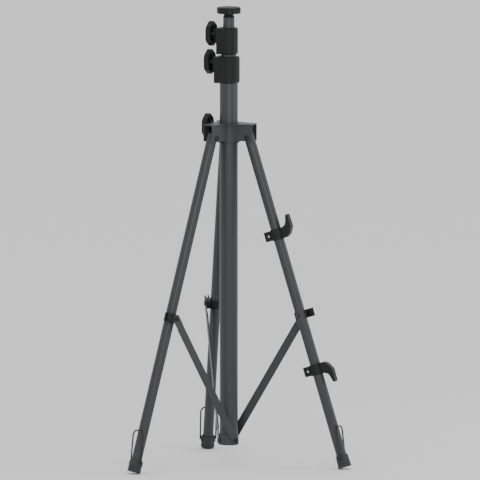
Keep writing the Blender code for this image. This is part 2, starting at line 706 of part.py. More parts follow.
def build_brace_clip(number, leg):
    """The moulded spacer between a leg and its brace, with two prongs that reach outwards."""
    inner, outer = LEG_RADIUS + GAP, BRACE_FROM_MAST - GAP
    low, high = -BRACE_DOWN_LEG - CLIP_HALF_HEIGHT, -BRACE_DOWN_LEG + CLIP_HALF_HEIGHT
    gap_low, gap_high = inner + PRONG_THICKNESS, outer - PRONG_THICKNESS
    clip = new_piece(
        f"brace_clip_{number}",
        block((-CLIP_INNER, inner, low), (PRONG_REACH, outer, high), 1 * MM, 1),
        MATERIALS["collar_plastic"],
        leg,
    )
    throat = block((CLIP_OUTER, gap_low, low - CUT), (PRONG_REACH + CUT, gap_high, high + CUT))
    cut(clip, throat, "throat")
    hole = rod((0, inner - CUT, -BRACE_DOWN_LEG), (0, outer + CUT, -BRACE_DOWN_LEG), BRACE_BOLT_RADIUS + GAP)
    cut(clip, hole, "bolt_hole")


def build_foot(number, foot):
    """A moulded cap on the leg's end, and the wire loop that swings out of its two ears."""
    seat = LEG_RADIUS + GAP
    cap = turned(
        f"foot_cap_{number}",
        [
            (CAP_TOP_RADIUS - 0.8 * MM, CAP_HEIGHT),
            (CAP_TOP_RADIUS, CAP_HEIGHT - 0.8 * MM),
            (CAP_BOTTOM_RADIUS, 1.2 * MM),
            (CAP_BOTTOM_RADIUS, 0),
            (0, 0),
            (0, CAP_FLOOR),
            (seat, CAP_FLOOR),
            (seat, CAP_HEIGHT),
        ],
        MATERIALS["cap_rubber"],
        foot,
        closed=True,
        steps=28,
    )
    reach = CAP_EAR_REACH
    for side, label in ((1, "left"), (-1, "right")):
        low, high = sorted((side * (CAP_TOP_RADIUS - 1 * MM), side * reach))
        ear = block(
            (-CAP_EAR_HALF_WIDTH, low, LOOP_PIVOT_HEIGHT - 5 * MM),
            (CAP_EAR_HALF_WIDTH, high, LOOP_PIVOT_HEIGHT + 5 * MM),
            2 * MM,
            1,
        )
        join(cap, ear, f"ear_{label}")
        start = (0, side * (LEG_RADIUS + 2 * GAP), LOOP_PIVOT_HEIGHT)
        end = (0, side * (reach + CUT), LOOP_PIVOT_HEIGHT)
        hole = rod(start, end, LOOP_WIRE_RADIUS + GAP, sides=12)
        cut(cap, hole, f"pin_hole_{label}")

    half = reach + GAP + LOOP_WIRE_RADIUS
    rest = LEG_RADIUS + LOOP_WIRE_RADIUS + GAP
    lean = math.asin(rest / LOOP_LENGTH)
    swing = new_frame(f"foot_loop_{number}_axis", foot, (0, 0, LOOP_PIVOT_HEIGHT), (0, lean, 0))
    path = [(-half + LOOP_WIRE_RADIUS + LOOP_IN_EAR, 0), (-half + 1.2 * MM, 0), (-half, 1.2 * MM)]
    path += arc((-half + LOOP_CORNER, LOOP_LENGTH - LOOP_CORNER), LOOP_CORNER, 180, 90, 5)
    path += [(-y, z) for y, z in reversed(path)]
    wire(f"foot_loop_{number}", [(0, y, z) for y, z in path], LOOP_WIRE_RADIUS, MATERIALS["wire"], swing)


def wire(name, path, radius, material, frame):
    curve = bpy.data.curves.new(name, "CURVE")
    curve.dimensions = "3D"
    curve.bevel_depth = radius
    curve.bevel_resolution = 2
    curve.use_fill_caps = True
    spline = curve.splines.new("POLY")
    spline.points.add(len(path) - 1)
    for point, place in zip(spline.points, path):
        point.co = (*place, 1.0)
    curve.materials.append(material)
    piece = bpy.data.objects.new(name, curve)
    piece.parent = frame
    PARTS.objects.link(piece)
    return piece


def build_brace(number, azimuth, mast):
    """A shallow channel with flat round ends: Z up along it from the base pivot, Y away from the mast."""
    frame = new_frame(f"brace_{number}_axis", mast, (0, 0, BASE_PIVOT), (0, BRACE_ANGLE, azimuth))
    half = BRACE_HALF_WIDTH
    outline = arc((0, 0), half, 180, 360, 10) + arc((0, BRACE_LENGTH), half, 0, 180, 10)
    web = plate(outline, BRACE_FROM_MAST, BRACE_OUTER, lambda u, v, w: (u, w, v))
    brace = new_piece(f"brace_{number}", web, MATERIALS["tube_paint"], frame)
    for side, label in ((1, "outer"), (-1, "inner")):
        low, high = sorted((side * (half - BRACE_SHEET), side * half))
        flange = block(
            (low, BRACE_FROM_MAST - BRACE_FLANGE, BRACE_FLAT_END),
            (high, BRACE_OUTER - 0.3 * BRACE_SHEET, BRACE_LENGTH - BRACE_FLAT_END),
        )
        join(brace, flange, f"flange_{label}")
    for height, label in ((0, "base_hole"), (BRACE_LENGTH, "leg_hole")):
        start, end = (0, BRACE_FROM_MAST - CUT, height), (0, BRACE_OUTER + CUT, height)
        hole = rod(start, end, BRACE_BOLT_RADIUS + GAP)
        cut(brace, hole, label)


def hook_outline():
    """The hook seen from the side: (out from the leg's axis, up along it)."""
    inside = LEG_RADIUS + 1.2 * MM
    low, high = -HOOK_BAND_LOW, HOOK_BAND_HIGH
    shoulder = HOOK_THROAT - 6.5 * MM
    return [
        (inside, low),
        (HOOK_REACH - 14.5 * MM, low),
        (HOOK_REACH - 9.0 * MM, low + 3.0 * MM),
        (HOOK_REACH, low + 17.0 * MM),
        (HOOK_REACH - 0.5 * MM, HOOK_TIP - 2.5 * MM),
        (HOOK_REACH - 3.0 * MM, HOOK_TIP),
        (HOOK_REACH - 0.5 * MM - HOOK_LIP, HOOK_TIP - 1.0 * MM),
        (HOOK_THROAT + 1.5 * MM, high + 12.0 * MM),
        (HOOK_THROAT, high + 7.0 * MM),
        (shoulder + 2.5 * MM, high + 2.0 * MM),
        (shoulder - 2.0 * MM, high),
        (inside, high),
    ]


def build_cord_hook(name, down, tip_up, leg):
    """A hook on a band around the leg; turned over, its tip points down."""
    frame = new_frame(f"{name}_axis", leg, (0, 0, -down), (0 if tip_up else math.pi, 0, 0))
    band = LEG_RADIUS + GAP + HOOK_BAND_WALL
    hook = new_piece(
        name,
        plate(hook_outline(), -HOOK_HALF_WIDTH, HOOK_HALF_WIDTH, lambda u, v, w: (u, w, v)),
        MATERIALS["hook_plastic"],
        frame,
    )
    ring = rod((0, 0, -HOOK_BAND_LOW), (0, 0, HOOK_BAND_HIGH), band, sides=32)
    join(hook, ring, "band")
    middle = (HOOK_BAND_HIGH - HOOK_BAND_LOW) / 2
    ear = block(
        (-HOOK_EAR_REACH, -HOOK_EAR_HALF_THICKNESS, middle - HOOK_EAR_HALF_HEIGHT),
        (-LEG_RADIUS - 2 * GAP, HOOK_EAR_HALF_THICKNESS, middle + HOOK_EAR_HALF_HEIGHT),
        1.5 * MM,
        1,
    )
    join(hook, ear, "ear")
    bore = rod((0, 0, -HOOK_BAND_LOW - CUT), (0, 0, HOOK_BAND_HIGH + CUT), LEG_RADIUS + GAP, sides=32)
    cut(hook, bore, "leg_bore")
    eye = rod(
        (-HOOK_EAR_HOLE, -HOOK_EAR_HALF_THICKNESS - CUT, middle),
        (-HOOK_EAR_HOLE, HOOK_EAR_HALF_THICKNESS + CUT, middle),
        HOOK_EAR_HOLE_RADIUS,
    )
    cut(hook, eye, "ear_hole")


def build_stand():
    mast = new_frame("stand_axis", None, (MAST_X, 0, 0))
    build_mast(mast)
    build_hub(mast)
    for number, azimuth in enumerate(LEG_AZIMUTHS, 1):
        leg = build_leg(number, azimuth, mast)
        build_brace(number, azimuth, mast)
        if number == 1:
            build_cord_hook("cord_hook_upper", HOOK_DOWN_LEG[0], True, leg)
            build_cord_hook("cord_hook_lower", HOOK_DOWN_LEG[1], False, leg)


clear_scene()
PARTS = new_collection(NAME)
CUTTERS = new_collection("cutters")
MATERIALS = {
    "tube_paint": new_material("tube_paint", (0.071, 0.078, 0.082), 0.45, 0.35),
    "hub_paint": new_material("hub_paint", (0.060, 0.066, 0.070), 0.50, 0.30),
    "collar_plastic": new_material("collar_plastic", (0.020, 0.021, 0.023), 0.45, 0.0),
    "knob_plastic": new_material("knob_plastic", (0.016, 0.017, 0.018), 0.50, 0.0),
    "hook_plastic": new_material("hook_plastic", (0.022, 0.023, 0.025), 0.50, 0.0),
    "bush_plastic": new_material("bush_plastic", (0.040, 0.041, 0.043), 0.55, 0.0),
    "cap_rubber": new_material("cap_rubber", (0.045, 0.048, 0.050), 0.70, 0.0),
    "wire": new_material("wire", (0.045, 0.047, 0.050), 0.40, 0.6),
    "black_zinc": new_material("black_zinc", (0.030, 0.031, 0.033), 0.40, 0.8),
    "zinc": new_material("zinc", (0.55, 0.56, 0.57), 0.35, 1.0),
    "brass": new_material("brass", (0.60, 0.45, 0.18), 0.40, 1.0),
}
build_stand()
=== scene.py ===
import json
import math

import bmesh
import bpy
from mathutils import Matrix, Vector

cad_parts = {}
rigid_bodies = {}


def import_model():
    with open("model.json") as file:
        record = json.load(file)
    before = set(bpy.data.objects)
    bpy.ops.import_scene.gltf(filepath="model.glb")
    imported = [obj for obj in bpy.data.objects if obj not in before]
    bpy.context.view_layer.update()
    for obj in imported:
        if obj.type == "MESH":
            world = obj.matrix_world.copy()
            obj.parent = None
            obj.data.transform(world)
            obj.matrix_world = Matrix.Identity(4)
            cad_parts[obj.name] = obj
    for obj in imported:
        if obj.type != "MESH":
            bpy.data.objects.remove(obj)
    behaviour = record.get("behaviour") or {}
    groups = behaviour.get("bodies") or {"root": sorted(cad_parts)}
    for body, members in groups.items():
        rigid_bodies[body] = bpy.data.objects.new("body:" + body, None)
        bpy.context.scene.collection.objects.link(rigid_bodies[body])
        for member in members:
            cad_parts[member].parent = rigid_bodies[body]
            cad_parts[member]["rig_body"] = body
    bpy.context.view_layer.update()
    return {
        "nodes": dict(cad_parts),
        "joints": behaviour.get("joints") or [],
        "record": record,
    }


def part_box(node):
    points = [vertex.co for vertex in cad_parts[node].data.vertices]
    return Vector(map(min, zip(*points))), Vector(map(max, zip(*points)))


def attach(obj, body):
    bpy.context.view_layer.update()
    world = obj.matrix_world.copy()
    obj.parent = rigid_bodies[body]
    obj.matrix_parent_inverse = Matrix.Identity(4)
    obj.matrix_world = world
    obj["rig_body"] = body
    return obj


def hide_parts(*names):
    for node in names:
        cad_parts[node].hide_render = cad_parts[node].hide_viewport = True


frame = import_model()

record = frame["record"]
joints = {joint["name"]: joint for joint in frame["joints"]}
mounts = {mount["name"]: mount for mount in record["mounts"]}
slotOf = {part["node"]: part["material_slot"] for part in record["subparts"]}
mm = 0.001
gap = 0.3 * mm  # between two pieces that touch
through = 1.0 * mm  # how far a cutter runs past what it cuts
weld = 0.002 * mm  # points nearer than this become one
sliver = 0.005 * mm  # edges shorter than this go after Boolean work


# Shader nodes

class Flow:  # a socket of a material's node tree, so that shader maths reads as a sum
    def __init__(self, tree, socket=None):
        self.tree = tree
        self.socket = socket

    def node(self, kind, settings=None, sockets=None, out=0):
        made = self.tree.nodes.new(kind)
        for key, value in (settings or {}).items():
            setattr(made, key, value)
        for key, value in (sockets or {}).items():
            if isinstance(value, Flow):
                self.tree.links.new(value.socket, made.inputs[key])
            else:
                made.inputs[key].default_value = value
        return Flow(self.tree, made.outputs[out])

    def maths(self, operation, first, second):
        return self.node("ShaderNodeMath", {"operation": operation}, {0: first, 1: second})

    def __add__(self, other):
        return self.maths("ADD", self, other)

    def __sub__(self, other):
        return self.maths("SUBTRACT", self, other)

    def __rsub__(self, other):
        return self.maths("SUBTRACT", other, self)

    def __mul__(self, other):
        return self.maths("MULTIPLY", self, other)

    def noise(self, scale, detail=2.0, stretch=(1, 1, 1)):  # scale is in marks per metre
        place = self.node("ShaderNodeMapping", {}, {"Vector": self, "Scale": stretch})
        sockets = {"Vector": place, "Scale": scale, "Detail": detail}
        return self.node("ShaderNodeTexNoise", {}, sockets)

    def band(self, low, high):  # 0 below low, 1 above high, and even in between
        sockets = {"Value": self, "From Min": low, "From Max": high}
        return self.node("ShaderNodeMapRange", {}, sockets)

    def mix(self, mask, first, second):
        sockets = {0: mask, 6: first, 7: second}
        return self.node("ShaderNodeMix", {"data_type": "RGBA"}, sockets, out=2)


def newFinish(name):
    material = bpy.data.materials.new(name)
    material.use_nodes = True
    tree = material.node_tree
    shader = tree.nodes["Principled BSDF"]
    place = Flow(tree).node("ShaderNodeTexCoord", out=3)
    return material, shader, place


def join(flow, socket):
    flow.tree.links.new(flow.socket, socket)


def addColour(shader, mask, look, worn=None):  # mask moves it from darker to lighter
    colour, spread = look["colour"], look["spread"]
    base = mask.mix(mask, tone(colour, 1 - spread), tone(colour, 1 + spread))
    if worn:
        base = mask.mix(worn * look["wear"], base, tone(colour, look["wornTone"]))
    join(base, shader.inputs["Base Color"])


def addRelief(shader, height, look):
    sockets = {"Strength": look["bump"], "Distance": look["relief"], "Height": height}
    join(height.node("ShaderNodeBump", {}, sockets), shader.inputs["Normal"])


def tone(colour, factor):
    return (*[min(1, channel * factor) for channel in colour], 1)


def paintedSteel(name, look):  # satin powder coat: orange peel, and faint lines along the tube
    material, shader, place = newFinish(name)
    cloud = place.noise(look["cloud"], 3)
    peel = place.noise(look["peel"], 1)
    lines = place.noise(look["lines"], 4, (1, 1, 0.02))
    scuff = place.noise(look["scuff"], 6, (1, 1, 0.25)).band(0.62, 0.74)
    shade = cloud * 0.6 + lines * 0.4
    addColour(shader, shade.band(0.35, 0.65), look, scuff)
    roughness = cloud * 0.08 + peel * 0.06 + scuff * 0.06 + (look["roughness"] - 0.07)
    join(roughness, shader.inputs["Roughness"])
    addRelief(shader, peel * 0.8 + lines * 0.2, look)
    shader.inputs["Metallic"].default_value = look["metallic"]
    shader.inputs["Specular IOR Level"].default_value = look["specular"]
    return material


def mouldedPlastic(name, look):  # spark-eroded grain, and dust in the places that hands don't rub
    material, shader, place = newFinish(name)
    cloud = place.noise(look["cloud"], 3)
    grain = place.noise(look["grain"], 2)
    rubbed = place.noise(look["rubbed"], 5).band(0.55, 0.72)
    addColour(shader, cloud.band(0.35, 0.65), look, rubbed)
    roughness = cloud * 0.1 + grain * 0.1 - rubbed * 0.07 + (look["roughness"] - 0.08)
    join(roughness, shader.inputs["Roughness"])
    addRelief(shader, grain, look)
    shader.inputs["Specular IOR Level"].default_value = look["specular"]
    return material


def mouldedRubber(name, look):  # matt, and scuffed pale towards the floor
    material, shader, place = newFinish(name)
    height = place.node("ShaderNodeSeparateXYZ", {}, {0: place}, out=2)
    cloud = place.noise(look["cloud"], 4)
    grain = place.noise(look["grain"], 3)
    low = 1 - height.band(0, look["scuffTop"])
    scuff = (low + cloud * 0.8).band(0.75, 1.45)
    addColour(shader, cloud.band(0.3, 0.7), look, scuff)
    join(grain * 0.1 + scuff * 0.1 + (look["roughness"] - 0.05), shader.inputs["Roughness"])
    addRelief(shader, grain, look)
    return material


def platedMetal(name, look):  # zinc or brass, with a fine crystalline mottle
    material, shader, place = newFinish(name)
    mottle = place.noise(look["mottle"], 4)
    grain = place.noise(look["grain"], 2)
    addColour(shader, mottle.band(0.35, 0.65), look)
    join(mottle * 0.14 + grain * 0.08 + (look["roughness"] - 0.1), shader.inputs["Roughness"])
    addRelief(shader, grain, look)
    shader.inputs["Metallic"].default_value = look["metallic"]
    return material


# Marks per metre for each kind of mark, then how far it changes the colour and the surface
steelLook = {
    "cloud": 14, "peel": 750, "lines": 420, "scuff": 90, "spread": 0.07,
    "wear": 0.16, "wornTone": 1.8, "bump": 0.35, "relief": 0.05 * mm,
}
plasticLook = {
    "cloud": 40, "grain": 1900, "rubbed": 160, "spread": 0.12,
    "wear": 0.22, "wornTone": 1.9, "bump": 0.5, "relief": 0.05 * mm, "specular": 0.24,
}
metalLook = {"mottle": 500, "grain": 2400, "spread": 0.15, "bump": 0.25, "relief": 0.02 * mm}
finishes = {
    "tube_paint": paintedSteel("tubePaint", steelLook | {
        "colour": (0.034, 0.037, 0.039), "roughness": 0.38, "metallic": 0.10, "specular": 0.42}),
    "hub_paint": paintedSteel("hubPaint", steelLook | {
        "colour": (0.034, 0.037, 0.039), "roughness": 0.44, "metallic": 0.10, "specular": 0.38}),
    "collar_plastic": mouldedPlastic("collarPlastic", plasticLook | {
        "colour": (0.0075, 0.0080, 0.0085), "roughness": 0.42}),
    "knob_plastic": mouldedPlastic("knobPlastic", plasticLook | {
        "colour": (0.0065, 0.0070, 0.0075), "roughness": 0.44}),
    "hook_plastic": mouldedPlastic("hookPlastic", plasticLook | {
        "colour": (0.0085, 0.0090, 0.0095), "roughness": 0.44}),
    "bush_plastic": mouldedPlastic("bushPlastic", plasticLook | {
        "colour": (0.020, 0.021, 0.022), "roughness": 0.50}),
    "cap_rubber": mouldedRubber("capRubber", {
        "colour": (0.024, 0.026, 0.027), "cloud": 120, "grain": 1500, "scuffTop": 26 * mm,
        "spread": 0.14, "wear": 0.35, "wornTone": 2.6, "roughness": 0.68, "bump": 0.6,
        "relief": 0.08 * mm}),
    "wire": platedMetal("coatedWire", metalLook | {
        "colour": (0.024, 0.025, 0.027), "roughness": 0.42, "metallic": 0.5}),
    "black_zinc": platedMetal("blackZinc", metalLook | {
        "colour": (0.020, 0.021, 0.023), "roughness": 0.40, "metallic": 0.6}),
    "zinc": platedMetal("brightZinc", metalLook | {
        "colour": (0.55, 0.56, 0.57), "roughness": 0.35, "metallic": 1.0}),
    "brass": platedMetal("turnedBrass", metalLook | {
        "colour": (0.60, 0.45, 0.18), "roughness": 0.40, "metallic": 1.0}),
}
print("finishes made:", len(finishes))


# Shapes

def solid(bm):
    bmesh.ops.remove_doubles(bm, verts=bm.verts, dist=weld)
    bmesh.ops.recalc_face_normals(bm, faces=bm.faces)
    mesh = bpy.data.meshes.new("shape")
    bm.to_mesh(mesh)
    bm.free()
    return mesh


def rounded(corners, steps=3):  # corners are (x, y, radius), and one with no radius stays sharp
    outline = []
    for number, (x, y, radius) in enumerate(corners):
        here = Vector((x, y))
        if not radius:
            outline.append(here)
            continue
        back = (Vector(corners[number - 1][:2]) - here).normalized()
        ahead = (Vector(corners[(number + 1) % len(corners)][:2]) - here).normalized()
        half = back.angle(ahead) / 2
        center = here + (back + ahead).normalized() * radius / math.sin(half)
        start = here + back * radius / math.tan(half) - center
        end = here + ahead * radius / math.tan(half) - center
        for step in range(steps + 1):
            outline.append(center + start.lerp(end, step / steps).normalized() * radius)
    return outline


def arc(center, radius, start, end, steps):  # angles are in degrees
    angles = [math.radians(start + (end - start) * step / steps) for step in range(steps + 1)]
    return [Vector(center) + Vector((math.cos(a), math.sin(a))) * radius for a in angles]


def spun(profile, steps, closed=True):  # points of (radius, height) turned about Z
    bm = bmesh.new()
    points = [bm.verts.new((radius, 0, height)) for radius, height in profile]
    edges = [bm.edges.new(pair) for pair in zip(points, points[1:])]
    if closed:
        edges.append(bm.edges.new((points[-1], points[0])))
    bmesh.ops.spin(
        bm, geom=[*points, *edges], cent=(0, 0, 0), axis=(0, 0, 1), dvec=(0, 0, 0),
        angle=math.tau, steps=steps, use_merge=True,
    )
    return solid(bm)


def plate(outline, low, high):  # an outline in X and Y, given thickness along Z
    bm = bmesh.new()
    face = bm.faces.new([bm.verts.new((x, y, low)) for x, y in outline])
    raised = bmesh.ops.extrude_face_region(bm, geom=[face])["geom"]
    top = [part for part in raised if isinstance(part, bmesh.types.BMVert)]
    bmesh.ops.translate(bm, verts=top, vec=(0, 0, high - low))
    return solid(bm)


def block(low, high, edge=0.0, along=None):  # the edges along one axis, or all of them, are rounded
    low, high = Vector(low), Vector(high)
    bm = bmesh.new()
    size = Matrix.Diagonal((*(high - low), 1))
    bmesh.ops.create_cube(bm, size=1, matrix=Matrix.Translation((low + high) / 2) @ size)
    if edge:
        chosen = [
            e for e in bm.edges
            if along is None or abs((e.verts[1].co - e.verts[0].co).normalized()[along]) > 0.9
        ]
        bmesh.ops.bevel(
            bm, geom=chosen, offset=edge, offset_type="OFFSET", segments=4, profile=0.5,
            affect="EDGES", clamp_overlap=True, material=-1,
        )
    return solid(bm)


def rod(start, end, radius, sides=40):
    start, end = Vector(start), Vector(end)
    turn = (end - start).to_track_quat("Z", "Y").to_matrix().to_4x4()
    bm = bmesh.new()
    bmesh.ops.create_cone(
        bm, cap_ends=True, segments=sides, radius1=radius, radius2=radius,
        depth=(end - start).length, matrix=Matrix.Translation((start + end) / 2) @ turn,
    )
    return solid(bm)


def turned(mesh, matrix):
    mesh.transform(matrix)
    return mesh


def combine(mesh, added=(), removed=()):  # Boolean work, applied
    work = bpy.data.objects.new("work", mesh)
    tools = [(shape, "UNION") for shape in added] + [(shape, "DIFFERENCE") for shape in removed]
    helpers = [work]
    bpy.context.scene.collection.objects.link(work)
    for shape, operation in tools:
        tool = bpy.data.objects.new("tool", shape)
        bpy.context.scene.collection.objects.link(tool)
        helpers.append(tool)
        boolean = work.modifiers.new("change", "BOOLEAN")
        boolean.operation = operation
        boolean.object = tool
        boolean.solver = "EXACT"
    graph = bpy.context.evaluated_depsgraph_get()
    made = bpy.data.meshes.new_from_object(work.evaluated_get(graph))
    for helper in helpers:
        bpy.data.objects.remove(helper)
    bm = bmesh.new()
    bm.from_mesh(made)
    bmesh.ops.dissolve_degenerate(bm, dist=sliver, edges=bm.edges)
    return solid(bm)


def boxIn(space, node):  # a CAD node's lowest and highest corner, in a local space
    back = space.inverted()
    points = [back @ vertex.co for vertex in frame["nodes"][node].data.vertices]
    low = Vector([min(point[axis] for point in points) for axis in range(3)])
    high = Vector([max(point[axis] for point in points) for axis in range(3)])
    return low, high


def spaceAt(place, across, up):  # Z runs along up, Y along across
    up, across = Vector(up).normalized(), Vector(across).normalized()
    turn = Matrix((across.cross(up), across, up)).transposed().to_4x4()
    return Matrix.Translation(place) @ turn


def camelName(node):
    first, *rest = node.split("_")
    return first + "".join(word.capitalize() for word in rest)


# A finished piece that stands for a CAD node: edge is its bevel, and smooth an angle in degrees
def stand(node, mesh, space, edge=0.0, slot=None, smooth=35):
    mesh.transform(space)
    slot = slot or slotOf[node]
    mesh.materials.clear()
    mesh.materials.append(finishes[slot])
    mesh.shade_smooth()
    mesh.set_sharp_from_angle(angle=math.radians(smooth))
    piece = bpy.data.objects.new(camelName(node), mesh)
    bpy.context.scene.collection.objects.link(piece)
    if edge:
        bevel = piece.modifiers.new("edges", "BEVEL")
        bevel.width = edge
        bevel.segments = 2
        bevel.limit_method = "ANGLE"
        bevel.angle_limit = math.radians(smooth)
        bevel.miter_outer = "MITER_ARC"
        normals = piece.modifiers.new("normals", "WEIGHTED_NORMAL")
        normals.keep_sharp = True
    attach(piece, frame["nodes"][node]["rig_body"])
    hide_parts(node)
    return piece


# Places: the mast's axis, and one space for each leg, brace and foot

mast = Matrix.Translation((joints["mid_turn"]["pos_m"][0], 0, 0))
legs = {}
for number in (1, 2, 3):
    rivetLow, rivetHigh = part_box(f"hub_rivet_{number}")
    pivot = (rivetLow + rivetHigh) / 2
    sole = Vector(mounts[f"foot_{number}"]["pos_m"])
    across = joints[f"leg_pivot_{number}"]["axis"]
    base = Vector(joints[f"brace_pivot_{number}"]["pos_m"])
    top = Vector(joints[f"leg_pivot_{number}"]["pos_m"])
    legs[number] = {
        "leg": spaceAt(pivot, across, pivot - sole),
        "foot": spaceAt(sole, across, pivot - sole),
        "brace": spaceAt(base, across, top - base),
        "across": Vector(across),
        "azimuth": math.radians(120 * (number - 1)),
    }


def raised(height):
    return Matrix.Translation((0, 0, height))


def sideSpace(joint):  # at a clamp screw's height on the mast, with Z outwards along the screw
    return mast @ raised(joints[joint]["pos_m"][2]) @ Matrix.Rotation(-math.pi / 2, 4, "Y")


# Mast

tubeLook = {"wall": 1.2 * mm, "rim": 0.4 * mm, "steps": 72}


def makeTube(node, space, look):
    low, high = boxIn(space, node)
    radius, inner = high.y, high.y - look["wall"]
    rim = look["rim"]
    outline = rounded([
        (radius, high.z, rim), (radius, low.z, rim), (inner, low.z, rim), (inner, high.z, rim),
    ])
    return spun(outline, look["steps"])


for node in ("outer_tube", "mid_tube", "top_tube"):
    stand(node, makeTube(node, mast, tubeLook), mast)

collarLook = {
    "chamfer": 2.0 * mm, "bossReach": 5.6 * mm, "bossRadius": 8.6 * mm,
    "blockReach": 2.8 * mm, "inset": 0.4 * mm, "belowKnob": 18.5 * mm,
    "tailReach": 0.7 * mm, "tailInset": 3.0 * mm, "round": 1.4 * mm,
    "studRoom": 4.3 * mm, "edge": 0.5 * mm, "steps": 72,
}


def makeCollar(node, outerTube, slidingTube, joint, look):
    low, high = boxIn(mast, node)
    seat = boxIn(mast, outerTube)[1].y + gap
    shoulder = boxIn(mast, outerTube)[1].z + gap
    bore = boxIn(mast, slidingTube)[1].y + gap
    knobHeight = joints[joint]["pos_m"][2]
    outer, chamfer, inside = high.y, look["chamfer"], bore - through
    body = spun([
        (outer - chamfer, high.z), (outer, high.z - chamfer),
        (outer, low.z + chamfer), (outer - chamfer, low.z),
        (inside, low.z), (inside, high.z),
    ], look["steps"])
    face, flat = outer + look["bossReach"], outer + look["blockReach"]
    split = knobHeight - look["belowKnob"]
    half = outer - look["inset"]
    tail, tailFace = half - look["tailInset"], flat + look["tailReach"]
    added = [
        block((-flat, -half, split), (-through, half, high.z - look["inset"]), look["round"], 0),
        block((-tailFace, -tail, low.z), (-through, tail, split + through), look["round"], 2),
        rod((-outer, 0, knobHeight), (-face, 0, knobHeight), look["bossRadius"]),
    ]
    removed = [
        rod((0, 0, knobHeight), (-face - through, 0, knobHeight), look["studRoom"]),
        rod((0, 0, low.z - through), (0, 0, shoulder), seat, look["steps"]),
        rod((0, 0, low.z), (0, 0, high.z + through), bore, look["steps"]),
    ]
    return combine(body, added, removed)


for node, outerTube, slidingTube, joint in (
    ("lower_collar", "outer_tube", "mid_tube", "lower_knob_turn"),
    ("upper_collar", "mid_tube", "top_tube", "upper_knob_turn"),
):
    mesh = makeCollar(node, outerTube, slidingTube, joint, collarLook)
    stand(node, mesh, mast, collarLook["edge"])
print("mast and collars made")

baseLook = {
    "wall": 1.2 * mm, "floor": 2.6 * mm, "drain": 6.0 * mm, "boss": 7.0 * mm, "round": 1.5 * mm,
    "rim": 0.5 * mm, "mouth": 0.3 * mm, "boltRoom": 2.8 * mm, "edge": 0.35 * mm, "steps": 72,
}


def makeBaseCollar(look):
    low, high = boxIn(mast, "base_collar")
    seat = boxIn(mast, "outer_tube")[1].y + gap
    outer, floorTop = seat + look["wall"], low.z + look["floor"]
    body = spun(rounded([
        (outer, high.z, look["rim"]), (outer, low.z, look["round"]),
        (look["drain"], low.z, look["rim"]), (look["drain"], floorTop, 0),
        (seat, floorTop, 0), (seat, high.z, look["mouth"]),
    ]), look["steps"])
    bosses, holes = [], []
    height = joints["brace_pivot_1"]["pos_m"][2]
    for number, place in legs.items():
        across = place["across"]
        face = boxIn(place["brace"], f"brace_{number}")[0].y + braceLook["flange"] - gap
        center = Vector((0, 0, height))
        start, end = center + across * (seat + gap), center + across * face
        bosses.append(rod(start, end, look["boss"]))
        holes.append(rod(center + across * seat, end + across * through, look["boltRoom"]))
    return combine(body, bosses, holes)


# Bolts and rivets

boltLook = {
    "shank": 2.5 * mm, "head": 1.6 * mm, "crown": 0.9 * mm,
    "socket": 1.9 * mm, "socketDepth": 0.9 * mm, "steps": 32,
}


def makeBolt(node, space, look):  # a button head with a hexagon socket, at the high end of Z
    low, high = boxIn(space, node)
    radius, crown = high.x, look["crown"]
    seat = high.z - look["head"]
    profile = [(0, high.z), *arc((radius - crown, high.z - crown), crown, 90, 0, 4)]
    profile += [(radius, seat), (look["shank"], seat), (look["shank"], low.z), (0, low.z)]
    socketFloor = high.z - look["socketDepth"]
    socket = rod((0, 0, socketFloor), (0, 0, high.z + through), look["socket"], 6)
    return combine(spun(profile, look["steps"], closed=False), removed=[socket])


rivetLook = {"shank": 3.0 * mm, "head": 1.8 * mm, "steps": 32}


def makeRivet(node, space, look):
    high = boxIn(space, node)[1]
    radius, grip = high.x, high.z - look["head"]
    dome = arc((0, 0), 1, 90, 0, 6)
    head = [(radius * point.x, grip + look["head"] * point.y) for point in dome]
    profile = [*head, (look["shank"], grip)]
    profile += [(reach, -height) for reach, height in reversed(profile)]
    return spun(profile, look["steps"], closed=False)


for number, place in legs.items():
    for node, at, make, look in (
        ("base_bolt", joints[f"brace_pivot_{number}"]["pos_m"], makeBolt, boltLook),
        ("brace_bolt", joints[f"leg_pivot_{number}"]["pos_m"], makeBolt, boltLook),
        ("hub_rivet", place["leg"].translation, makeRivet, rivetLook),
    ):
        node = f"{node}_{number}"
        space = spaceAt(at, (0, 0, 1), place["across"])
        stand(node, make(node, space, look), space)
print("bolts and rivets made")

# Star knobs

knobLook = {  # dishAt, domeAt, bandAt and lobeDepth are shares of the knob's radius
    "lobes": 6, "lobeDepth": 0.07, "lobePower": 1.6, "lobeFrom": 3 * mm, "lobeFade": 4 * mm,
    "dome": 0.9 * mm, "domeAt": 0.72, "domeFall": 0.25, "dish": 0.5 * mm, "dishAt": 0.52,
    "dishRamp": 1.2 * mm, "soft": 0.6 * mm, "edge": 1.3 * mm, "underEdge": 0.9 * mm,
    "rimWall": 3.2 * mm, "rimEdge": 0.5 * mm, "recess": 3.0 * mm, "stemEdge": 0.4 * mm,
    "mouth": 0.3 * mm, "studRoom": 4.3 * mm, "blind": 10.3 * mm, "ribs": 72,
    "ribDepth": 0.3 * mm, "bandAt": 0.985, "bandRise": 1.0 * mm, "bandEdge": 0.9,
    "bandSlack": (0.9, 1.05), "web": 1.6 * mm, "webRise": 1.0 * mm,
    "webInStem": 1 * mm, "webInRoof": 0.4 * mm, "webAtRim": 0.8 * mm,
}
sideKnob = knobLook | {"stemRadius": 8.0 * mm, "stem": 7.0 * mm, "flare": 1.5 * mm}
topKnob = knobLook | {"stemRadius": 9.4 * mm, "stem": 3.6 * mm, "flare": 3.0 * mm}


